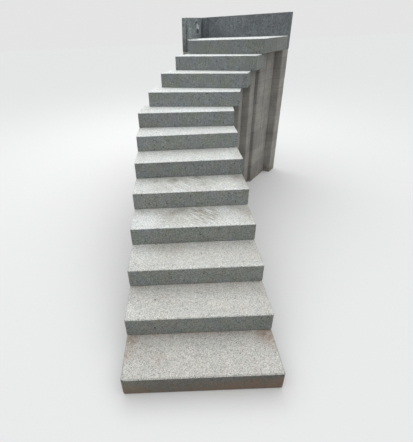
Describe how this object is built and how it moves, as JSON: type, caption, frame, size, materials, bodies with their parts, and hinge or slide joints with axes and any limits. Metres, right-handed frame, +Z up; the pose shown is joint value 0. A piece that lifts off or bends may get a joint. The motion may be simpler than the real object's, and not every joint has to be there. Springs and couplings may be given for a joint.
{
  "type": "outdoor stone block steps",
  "caption": "Flight of solid grey stone block steps, straight below and fanned out to the right above, ending at a landing with upright slabs.",
  "frame": {"origin": "middle of the underside of the bottom block", "axes": "+Z up, +Y up the straight part of the flight, +X to the right seen from the foot of the flight"},
  "size_m": [1.9154, 4.4106, 2.05],
  "materials": {
    "step_stone": "matte",
    "slab_stone": "matte",
    "wall_concrete": "matte"
  },
  "bodies": {
    "root": {"step_01": "step_stone", "step_02": "step_stone", "step_03": "step_stone", "step_04": "step_stone", "step_05": "step_stone", "step_06": "step_stone", "step_07": "step_stone", "step_08": "step_stone", "step_09": "step_stone", "step_10": "step_stone", "step_11": "step_stone", "step_12": "step_stone", "landing_strip": "step_stone", "head_slab": "slab_stone", "cheek_slab": "slab_stone", "wall_left": "wall_concrete", "wall_right": "wall_concrete", "pier_left_08": "wall_concrete", "pier_left_09": "wall_concrete", "pier_left_10": "wall_concrete", "pier_left_11": "wall_concrete", "pier_left_12": "wall_concrete", "pier_right_08": "wall_concrete", "pier_right_09": "wall_concrete", "pier_right_10": "wall_concrete", "pier_right_11": "wall_concrete", "pier_right_12": "wall_concrete", "head_wall": "wall_concrete", "head_return_left": "wall_concrete", "head_return_right": "wall_concrete"}
  },
  "joints": []
}
